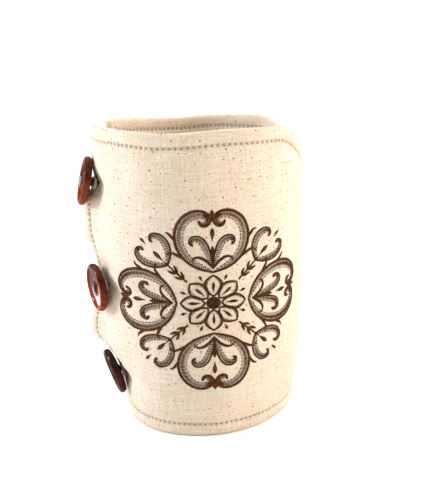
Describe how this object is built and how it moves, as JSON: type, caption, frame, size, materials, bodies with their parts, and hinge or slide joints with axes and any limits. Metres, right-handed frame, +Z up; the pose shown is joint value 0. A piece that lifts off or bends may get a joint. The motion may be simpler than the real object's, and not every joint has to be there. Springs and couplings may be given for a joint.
{
  "type": "cafetiere cosy",
  "caption": "Padded natural linen wrap cosy for a cafetiere, embroidered on the front and closed down the handle side with round wooden buttons and elastic loops.",
  "frame": {"origin": "on the axis of the beaker that the cosy covers, in the plane of its hem", "axes": "+Z up, -Y towards the embroidered front, +X towards the spout side, -X towards the opening for the handle"},
  "size_m": [0.1243, 0.1173, 0.1606],
  "materials": {
    "linen": "plain-woven natural linen with brown flecks",
    "button_wood": "polished red-brown wood",
    "brown_thread": "dark brown embroidery and sewing thread",
    "loop_elastic": "braided natural elastic cord"
  },
  "bodies": {
    "root": {"wrap": "linen", "button_top": "button_wood", "button_middle": "button_wood", "button_bottom": "button_wood", "thread_top": "brown_thread", "thread_middle": "brown_thread", "thread_bottom": "brown_thread", "loop_top": "loop_elastic", "loop_middle": "loop_elastic", "loop_bottom": "loop_elastic"}
  },
  "joints": []
}
